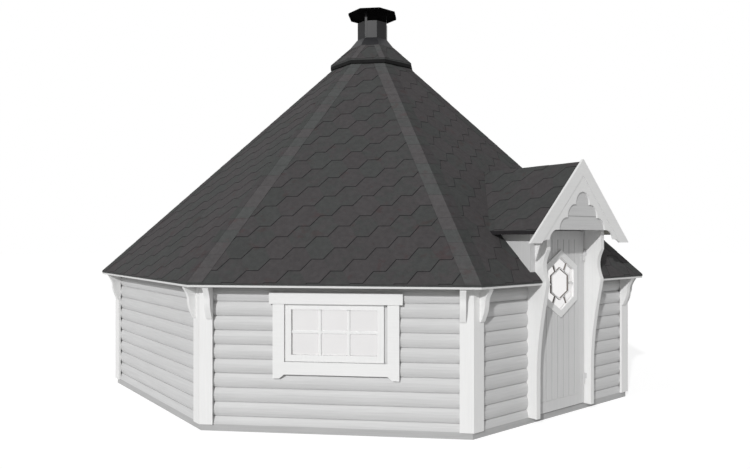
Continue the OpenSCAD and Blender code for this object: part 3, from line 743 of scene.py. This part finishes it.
def hip_cap_courses():
    top = (EAVE - high("hood_posts", 0)) * ROOT2 - CAP_TOP_GAP
    hood_top = (HOOD_EAVE - HOOD_TOP) * ROOT2
    for k in range(WALLS):
        build = Build()
        for wall, side in ((k, 1), ((k + 1) % WALLS, -1)):
            # caps on the roof sides over the windows are paler: painted light on the cap's lit half
            slot = 1 if wall in WINDOW_WALLS else 0
            cap_courses(build, slope_plane(wall, EAVE, EAVE_Z), EAVE, side, CAP_W, CAP_LIE, top,
                        slot, random.Random(CAP_SEED + k))
            cap_courses(build, slope_plane(wall, HOOD_EAVE, HOOD_EAVE_Z), HOOD_EAVE, side,
                        HOOD_CAP_W, HOOD_CAP_LIE, hood_top, slot, random.Random(HOOD_CAP_SEED + k))
        build.make(f"hip_cap_courses_{k}", "cabin",
                   [MATERIALS["plain_cap"], MATERIALS["cap_painted_light"]])


def board_rows(build, plane, half, top, regions, chance):
    """Boards that run along u on the underside of a plane."""
    pitch = BOARD_W + BOARD_GAP
    for row in range(math.ceil(top / pitch)):
        outline = rectangle(-half, half, row * pitch, row * pitch + BOARD_W)
        tone = (chance.random(), chance.random())
        for region in regions:
            shown = clip_all(outline, region)
            if shown:
                build.solid(plane, shown, flat(SINK), flat(-BOARD_PROUD), tone=tone)


def ceiling_boards():
    top = (DECK_END - high("smoke_collar", 0)) * ROOT2
    half = DECK_END * CORNER
    for k in range(WALLS):
        region = hip_region(DECK_END, CEILING_HIP_GAP) + [(0, 1, top)]
        regions = [region]
        if k == 0:
            regions = [region + part for part in around_porch(PORCH_LOW_RIDGE_Z, DECK_LOW_Z)]
        build = Build()
        board_rows(build, slope_plane(k, DECK_END, DECK_LOW_Z), half, top, regions,
                   random.Random(CEILING_SEED + k))
        build.make(f"ceiling_boards_{k}", "cabin", [MATERIALS["stained_wood"]])


def floor_boards():
    reach = high("floor_deck", 0)
    z = high("floor_deck", 2)
    plane = Plane(UP * z, Vector((1, 0, 0)), Vector((0, 1, 0)))
    turns = [math.radians(WALL_TURN * k) for k in range(WALLS)]
    region = [(math.cos(turn), math.sin(turn), reach) for turn in turns]
    pitch = BOARD_W + BOARD_GAP
    count = math.ceil(reach / pitch)
    build = Build()
    for i in range(-count, count + 1):
        start = i * pitch - BOARD_W / 2
        shown = clip_all(rectangle(start, start + BOARD_W, -reach, reach), region)
        if shown:
            build.solid(plane, shown, flat(FLOOR_BOARD_PROUD), flat(-SINK))
    build.make("floor_boards", "cabin", [MATERIALS["bare_wood"]])


def porch_ceiling_boards():
    low_z = PORCH_LOW_RIDGE_Z - PORCH_DECK_HALF
    top = PORCH_DECK_HALF * ROOT2
    valley = low_z - ROOF_APEX
    build = Build()
    for side in (-1, 1):
        plane = Plane(Vector((side * PORCH_DECK_HALF, 0, low_z)), Vector((0, side, 0)),
                      Vector((-side, 0, 1)) / ROOT2)
        region = [(0, 1, top), (-side, 0, PORCH_FRONT), (side, -1 / ROOT2, valley)]
        board_rows(build, plane, PORCH_FRONT, top, [region],
                   random.Random(PORCH_CEILING_SEED + side))
    build.make("porch_ceiling_boards", "cabin", [MATERIALS["porch_wood"]])


def porch_drips():
    """Dark strip on the folded edge of the porch's covering, along both of its eaves."""
    low_z = PORCH_LOW_RIDGE_Z - PORCH_EAVE
    high_z = PORCH_RIDGE_Z - PORCH_EAVE
    build = Build()
    for side in (-1, 1):
        plane = Plane(Vector((side * PORCH_EAVE, 0, 0)), Vector((0, side, 0)), UP.copy())
        region = [(-side, 0, PORCH_FRONT), (side, -1, -ROOF_APEX)]
        shown = clip_all(rectangle(-PORCH_FRONT, PORCH_FRONT, low_z, high_z), region)
        build.solid(plane, shown, flat(DRIP_PROUD), flat(-SINK))
    build.make("porch_drips", "cabin", [MATERIALS["bitumen"]])


# ---- door, windows and gable --------------------------------------------------

def back_plane(apothem):
    """Upright plane of the door wall, seen from inside."""
    return Plane(Vector((0, -apothem, 0)), Vector((-1, 0, 0)), UP.copy())


def door_planks():
    clear = region_of(moved(hexagon(*HEX_FRAME, HEX_CLEAR), 0, HEX_Z))
    half = LEAF_HALF - STILE_W
    heights = (LEAF_LOW_Z + FOOT_H, LEAF_TOP_Z - STILE_W)
    edges = [-half - GROOVE_W / 2]
    edges += [PLANK_FIRST + i * PLANK_PITCH for i in range(PLANK_JOINTS)]
    edges += [half + GROOVE_W / 2]
    build = Build()
    for plane in (wall_plane(0, GROUND_FRONT, 0), back_plane(GROUND_BACK)):
        for left, right in zip(edges, edges[1:]):
            plank = rectangle(left + GROOVE_W / 2, right - GROOVE_W / 2, *heights)
            # a dark strip in the groove left of each plank, painted shade of the groove
            line = rectangle(left - GROOVE_W / 2, left + GROOVE_W / 2, *heights)
            for part in outside(clear):
                shown = clip_all(plank, part)
                if shown:
                    build.solid(plane, shown, flat(PLANK_PROUD), flat(-SINK))
                shown = clip_all(line, part)
                if shown and left > -half:
                    build.solid(plane, shown, flat(GROOVE_SHADE_PROUD), flat(-SINK), (1, 1))
    build.make("door_planks", "door",
               [MATERIALS["door_paint"], MATERIALS["groove"]])


def door_seal_painted_shade():
    """Dark sealing strip along the leaf's lower edge, partly inside the leaf; its black is painted
    shade in the gap under the door.
    """
    build = Build()
    top = LEAF_LOW_Z + SHADE_SEAL_IN_LEAF
    outline = rectangle(-LEAF_HALF, LEAF_HALF, top - SHADE_SEAL_H, top)
    build.solid(wall_plane(0, GROUND_FRONT, 0), outline, flat(0), flat(-SHADE_SEAL_T))
    build.make("door_seal_painted_shade", "cabin", [MATERIALS["dull_black"]])


def door_outer_pane():
    """Outer pane of the double glazing, which lies behind the frame and carries the leading."""
    build = Build()
    outline = moved(hexagon(*HEX_FRAME, OUTER_PANE_INSET), 0, HEX_Z)
    build.solid(wall_plane(0, GROUND_FRONT, 0), outline, flat(0), flat(-OUTER_PANE_T))
    build.make("door_outer_pane", "door", [MATERIALS["outer_pane"]])


def door_leading():
    """A six-sided ring in front of the glass, with bars from it to the frame."""
    outer = moved(hexagon(*LEAD_RING), 0, HEX_Z)
    inner = moved(hexagon(*LEAD_RING, LEAD_W), 0, HEX_Z)
    bars = []
    for i, corner in enumerate(outer):
        j = (i + 1) % len(outer)
        bars.append([corner, outer[j], inner[j], inner[i]])
    for side_u in (-1, 1):
        bars.append(strip((side_u * LEAD_ARM[0], HEX_Z), (side_u * LEAD_ARM[1], HEX_Z), LEAD_W))
        for side_v in (-1, 1):
            ends = [(side_u * u, HEX_Z + side_v * v) for u, v in LEAD_SPOKE]
            bars.append(strip(*ends, LEAD_W))
    build = Build()
    for bar in bars:
        build.solid(wall_plane(0, GROUND_FRONT, 0), bar, flat(LEAD_PROUD), flat(-LEAD_SINK), (0, 1))
    build.make("door_leading", "door",
               [MATERIALS["upright_white"], MATERIALS["bar_edge"]])


def window_bars():
    u0, u1 = PANE_LEFT, PANE_RIGHT
    v0 = low("window_glass", 2) + PANE_COVERED
    v1 = high("window_glass", 2) - PANE_COVERED
    middle_v = (v0 + v1) / 2
    for wall in WINDOW_WALLS:
        plane = wall_plane(wall, PANE_FRONT, 0)
        build = Build()
        for w, t in ((BAR_W, BAR_T), (BAR_LIP_W, BAR_LIP_T)):
            for i in range(1, PANES_ACROSS):
                u = u0 + i * (u1 - u0) / PANES_ACROSS
                build.solid(plane, rectangle(u - w / 2, u + w / 2, v0, v1), flat(t), flat(-SINK))
            across = rectangle(u0, u1, middle_v - w / 2, middle_v + w / 2)
            build.solid(plane, across, flat(t - CROSS_BAR_SETBACK), flat(-SINK))
        build.make(f"window_bars_{wall}", "cabin", [MATERIALS["upright_white"]])


def infill_boards():
    half, low_z, peak = high("gable_infill", 0), low("gable_infill", 2), high("gable_infill", 2)
    gable = [(1, 1, peak), (-1, 1, peak)]
    plane = wall_plane(0, INFILL_FRONT, 0)
    joint = INFILL_JOINT_Z
    build = Build()
    # the joint between the boards is filled with a dark strip, painted shade in the gap
    for v0, v1, proud, slot in ((low_z, joint - INFILL_GAP / 2, INFILL_PROUD, 0),
                                (joint - INFILL_GAP / 2, joint + INFILL_GAP / 2, GROOVE_SHADE_PROUD, 1),
                                (joint + INFILL_GAP / 2, peak, INFILL_PROUD, 0)):
        shown = clip_all(rectangle(-half, half, v0, v1), gable)
        build.solid(plane, shown, flat(proud), flat(-SINK), (slot, slot))
    build.make("infill_boards", "cabin",
               [MATERIALS["log_paint"], MATERIALS["groove"]])


# ---- camera and light ---------------------------------------------------------

# the camera's place and level view, its lens and sensor in millimetres, and its shift as a share
# of the picture's width
EYE = Vector((-4.936, -6.254, 1.62))
LOOK = Vector((0.6225, 0.7826, 0))
LENS = 30.816
SENSOR = 36
SHIFT_UP = 0.0036
CLIP_END = 200

# degrees: where the sun stands, from +X towards +Y and up, and how wide it is
SUN_AZIMUTH = -151.5
SUN_ELEVATION = 24.4
SUN_ANGLE = 1.5
SUN_STRENGTH = 2.2
# the sky's light on the object, and how bright it is where it is seen
SKY_STRENGTH = 0.35
SHOWN_SKY_STRENGTH = 1
WHITE_LIGHT = (1, 1, 1, 1)

# floor: half its width in metres, its grey for the light that it throws back, and the fainter grey
# and the glow that are seen
FLOOR_HALF = 60
FLOOR_GREY = 0.8
FLOOR_SEEN_GREY = 0.33
FLOOR_GLOW = 0.8


def add_camera():
    cam = bpy.data.cameras.new("camera")
    cam.sensor_width = SENSOR
    cam.lens = LENS
    cam.shift_y = SHIFT_UP
    cam.clip_end = CLIP_END
    ob = bpy.data.objects.new("camera", cam)
    bpy.context.scene.collection.objects.link(ob)
    ob.location = EYE
    ob.rotation_euler = LOOK.to_track_quat("-Z", "Y").to_euler()
    bpy.context.scene.camera = ob


def seen_directly(tree):
    """1 for rays from the camera, a mirror or glass, otherwise 0."""
    path = tree.nodes.new("ShaderNodeLightPath")
    total = path.outputs["Is Camera Ray"]
    for name in ("Is Glossy Ray", "Is Transmission Ray"):
        add = tree.nodes.new("ShaderNodeMath")
        add.operation = "MAXIMUM"
        tree.links.new(total, add.inputs[0])
        tree.links.new(path.outputs[name], add.inputs[1])
        total = add.outputs[0]
    return total


def add_world():
    world = bpy.data.worlds.new("world")
    bpy.context.scene.world = world
    world.use_nodes = True
    tree = world.node_tree
    shown = tree.nodes["Background"]
    socket_values(shown, {"Color": WHITE_LIGHT, "Strength": SHOWN_SKY_STRENGTH})
    light = tree.nodes.new("ShaderNodeBackground")
    socket_values(light, {"Color": WHITE_LIGHT, "Strength": SKY_STRENGTH})
    mix = tree.nodes.new("ShaderNodeMixShader")
    tree.links.new(seen_directly(tree), mix.inputs["Fac"])
    tree.links.new(light.outputs[0], mix.inputs[1])
    tree.links.new(shown.outputs[0], mix.inputs[2])
    tree.links.new(mix.outputs[0], tree.nodes["World Output"].inputs["Surface"])


def add_sun():
    sun = bpy.data.lights.new("sun", "SUN")
    sun.energy = SUN_STRENGTH
    sun.angle = math.radians(SUN_ANGLE)
    ob = bpy.data.objects.new("sun", sun)
    bpy.context.scene.collection.objects.link(ob)
    a, e = math.radians(SUN_AZIMUTH), math.radians(SUN_ELEVATION)
    toward = Vector((math.cos(e) * math.cos(a), math.cos(e) * math.sin(a), math.sin(e)))
    ob.rotation_euler = toward.to_track_quat("Z", "Y").to_euler()


def add_floor():
    mesh = bpy.data.meshes.new("floor")
    corners = rectangle(-FLOOR_HALF, FLOOR_HALF, -FLOOR_HALF, FLOOR_HALF)
    mesh.from_pydata([(x, y, 0) for x, y in corners], [], [(0, 1, 2, 3)])
    ob = bpy.data.objects.new("floor", mesh)
    bpy.context.scene.collection.objects.link(ob)
    material = bpy.data.materials.new("floor")
    material.use_nodes = True
    tree = material.node_tree
    tree.nodes.remove(tree.nodes["Principled BSDF"])
    plain = tree.nodes.new("ShaderNodeBsdfDiffuse")
    plain.inputs["Color"].default_value = (*even(FLOOR_GREY), 1)
    faint = tree.nodes.new("ShaderNodeBsdfDiffuse")
    faint.inputs["Color"].default_value = (*even(FLOOR_SEEN_GREY), 1)
    glow = tree.nodes.new("ShaderNodeEmission")
    glow.inputs["Strength"].default_value = FLOOR_GLOW
    both = tree.nodes.new("ShaderNodeAddShader")
    mix = tree.nodes.new("ShaderNodeMixShader")
    tree.links.new(faint.outputs[0], both.inputs[0])
    tree.links.new(glow.outputs[0], both.inputs[1])
    tree.links.new(seen_directly(tree), mix.inputs["Fac"])
    tree.links.new(plain.outputs[0], mix.inputs[1])
    tree.links.new(both.outputs[0], mix.inputs[2])
    tree.links.new(mix.outputs[0], tree.nodes["Material Output"].inputs["Surface"])
    mesh.materials.append(material)


dress_nodes()
main_shingles()
hood_shingles()
porch_shingles()
hip_cap_courses()
ceiling_boards()
porch_ceiling_boards()
porch_drips()
floor_boards()
door_planks()
door_seal_painted_shade()
door_outer_pane()
door_leading()
window_bars()
infill_boards()
add_camera()
add_world()
add_sun()
add_floor()
bpy.context.scene.view_settings.view_transform = "Standard"
